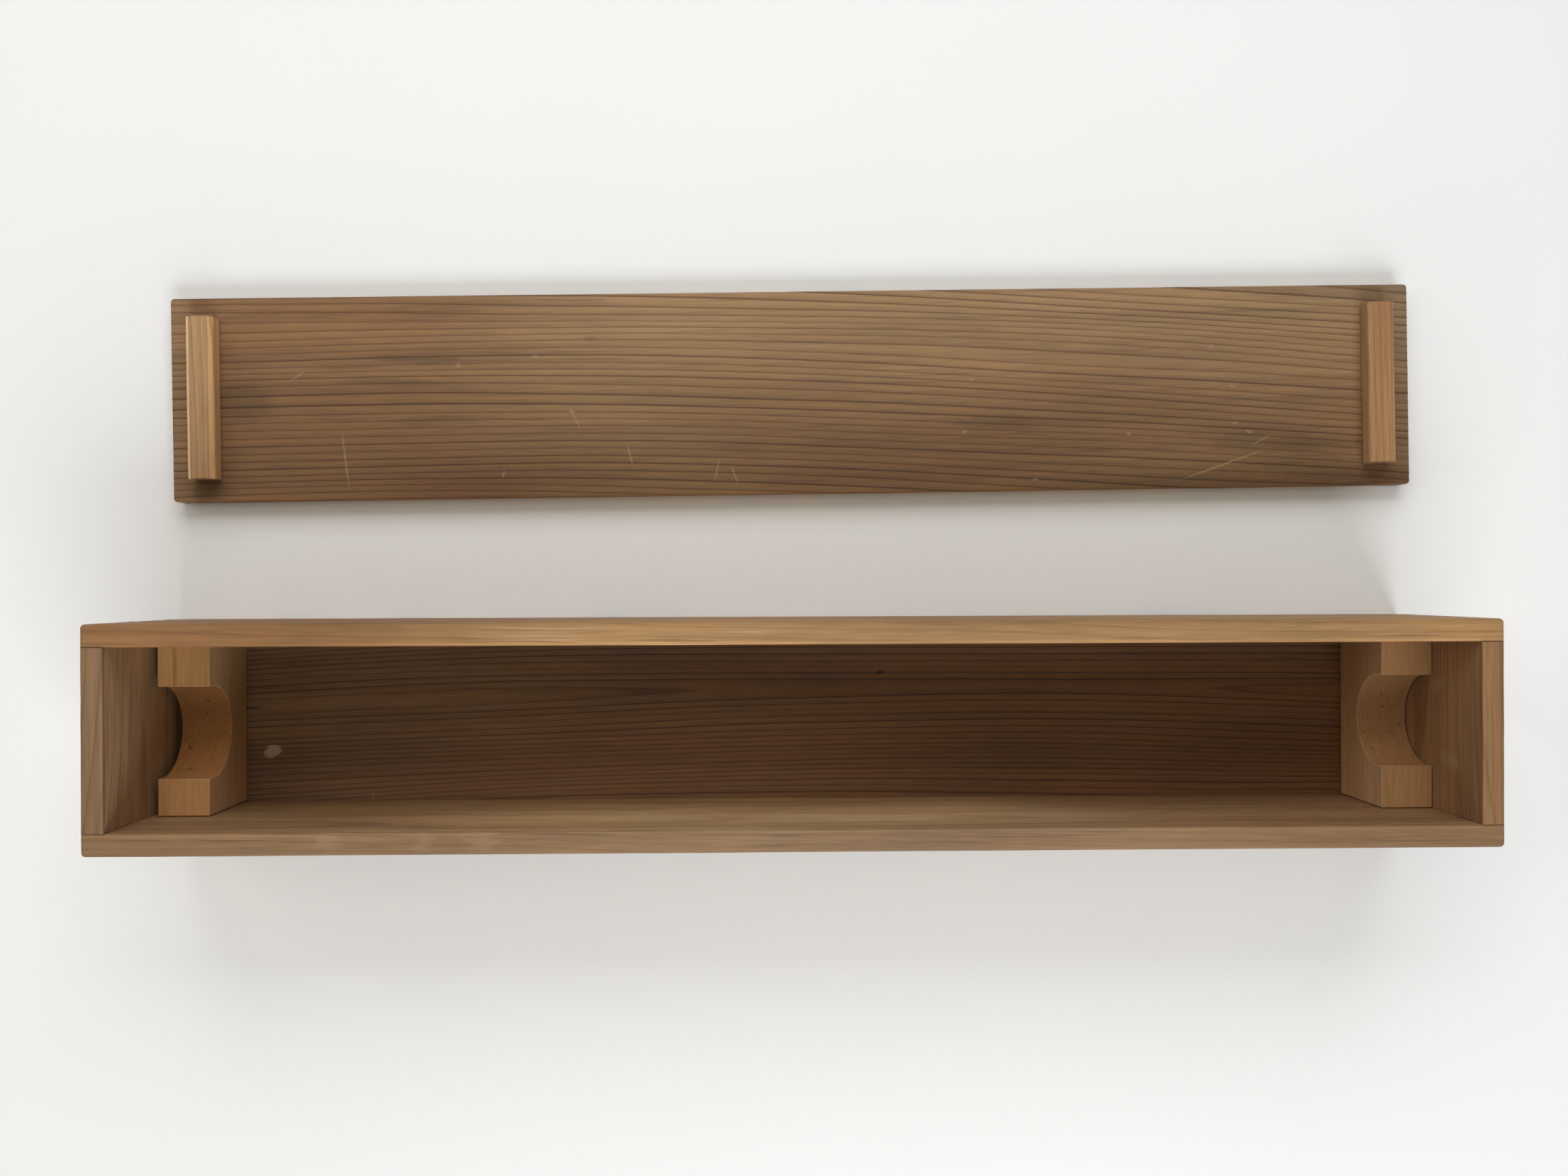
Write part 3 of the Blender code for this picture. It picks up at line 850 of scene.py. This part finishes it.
batten_look = {"early": (0.42, 0.26, 0.135), "warm": (0.38, 0.22, 0.11), "late": (0.24, 0.13, 0.06)}
batten_look.update({"contrast": 0.65, "streaks": 0.3, "clouds": 0.35, "bands": 0.2})
batten_grain = {"heart": 0.03, "deep": -0.012, "lean": 0.03, "deep lean": 0.0, "bow": 0.2, "deep bow": 0.0}
batten_grain.update({"ring": 0.0024, "wander": 0.002, "seed": 61.0})
long_edges = ((0, 1, 0), (0, 1, 1))


def batten_marks(place, colour, top_tint, left_chamfer_painted_light, right_chamfer_painted_light):
    """A tone of its own on the top, and painted light on the chamfers at its left and its right, which makes
    them lighter than the top, as if they caught more light.
    """
    across = place.parts()[1]
    left = across.rise(0.0032, 0.0038)
    right = across.rise(-0.0033, -0.0038)
    # Painted light: each chamfer is made lighter than the top, standing in for the light it catches.
    colour = colour.tinted(left.between(top_tint, left_chamfer_painted_light))
    return colour.tinted(right_chamfer_painted_light, right)


# The tints for the left and right chamfers, here and below, are painted light.
def left_batten_marks(place, colour):
    return batten_marks(place, colour, (1.02, 0.98, 0.90), (2.3, 2.6, 2.8), (1.65, 1.66, 1.6))


def right_batten_marks(place, colour):
    return batten_marks(place, colour, (0.98, 0.85, 0.70), (1.12, 1.12, 1.05), (1.3, 1.3, 1.3))


for hand, seed, marks in (("left", 61.0, left_batten_marks), ("right", 67.0, right_batten_marks)):
    add_plank(
        hand + "_batten_strip", hand + "_lid_batten", "lid", "batten_wood", (0, 0, lid_turn + math.pi / 2),
        {**batten_grain, "seed": seed}, batten_look, long_edges, cuts=(40, 30, 26), marks=marks,
        borer=lid_borer, ease=0.0020, chamfer=0.85,
    )


# The lid's pegs
#
# Two of the same wooden pegs in each batten, driven through the lid from its outer face, glued and pared
# flush. By now every hole is bored, so the borers go.

lid_pegs = add_pegs("lid_pegs", "lid", peg_heads("batten"))
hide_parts(*[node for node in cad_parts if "_batten_peg" in node])

for borer in (box_borer, lid_borer):
    bpy.data.objects.remove(borer)


# The table top and the light
#
# A plain, pale table top. Soft light comes from all round: broad windows in front and behind, a weak, warm
# one at the left, and a little from above.

bpy.ops.mesh.primitive_grid_add(x_subdivisions=4, y_subdivisions=4, size=3.4)
table_top = bpy.context.object
table_top.name = "table_top"
finish, start = material("pale_table")
place = start.make("ShaderNodeTexCoord", output="Object")
mottle = place.noise((14.0, 14.0, 14.0), 2.0, 2.0)
white = start.make("ShaderNodeRGB")
white.socket.default_value = (0.90, 0.905, 0.89, 1)
pale = white.scaled(1 + (mottle - 0.5) * 0.02)
shader = start.make("ShaderNodeBsdfPrincipled", None, {"Base Color": pale, "Roughness": 0.6})
start.make("ShaderNodeOutputMaterial", None, {"Surface": shader})
table_top.data.materials.append(finish)

world = bpy.data.worlds.new("studio")
bpy.context.scene.world = world
world.use_nodes = True
world.node_tree.nodes.clear()
start = Wire(world.node_tree)
seen = start.make("ShaderNodeLightPath", output="Is Camera Ray")
fill = start.make("ShaderNodeBackground", None, {"Color": (1, 1, 1, 1), "Strength": 0.12})
backdrop = start.make("ShaderNodeBackground", None, {"Color": (0.80, 0.81, 0.80, 1), "Strength": 1.0})
air = start.make("ShaderNodeMixShader", None, {0: seen, 1: fill, 2: backdrop})
start.make("ShaderNodeOutputWorld", None, {"Surface": air})


def add_window(name, azimuth, elevation, width, height, power, colour):
    """A soft rectangle of light that faces the box. Azimuth 0 is in front, and it grows to the right."""
    lamp = bpy.data.lights.new(name, "AREA")
    lamp.shape = "RECTANGLE"
    lamp.size = width
    lamp.size_y = height
    lamp.energy = power
    lamp.color = colour
    turn, lift = math.radians(azimuth), math.radians(elevation)
    way = Vector((math.sin(turn) * math.cos(lift), -math.cos(turn) * math.cos(lift), math.sin(lift)))
    window = bpy.data.objects.new(name, lamp)
    bpy.context.scene.collection.objects.link(window)
    window.location = Vector((0, 0.06, 0)) + way * 1.6
    window.rotation_euler = (-way).to_track_quat("-Z", "Y").to_euler()
    window.visible_camera = False


add_window("front_window", 11, 38, 1.25, 0.9, 18.8, (0.97, 0.97, 1.0))
add_window("back_window", 179, 42, 1.5, 0.9, 14.4, (0.98, 0.98, 1.0))
add_window("side_window", -110, 40, 0.9, 0.8, 4.0, (1.0, 0.90, 0.80))
add_window("top_softbox", 0, 89, 1.2, 1.2, 3.0, (1.0, 1.0, 0.82))
bpy.context.scene.view_settings.view_transform = "Standard"
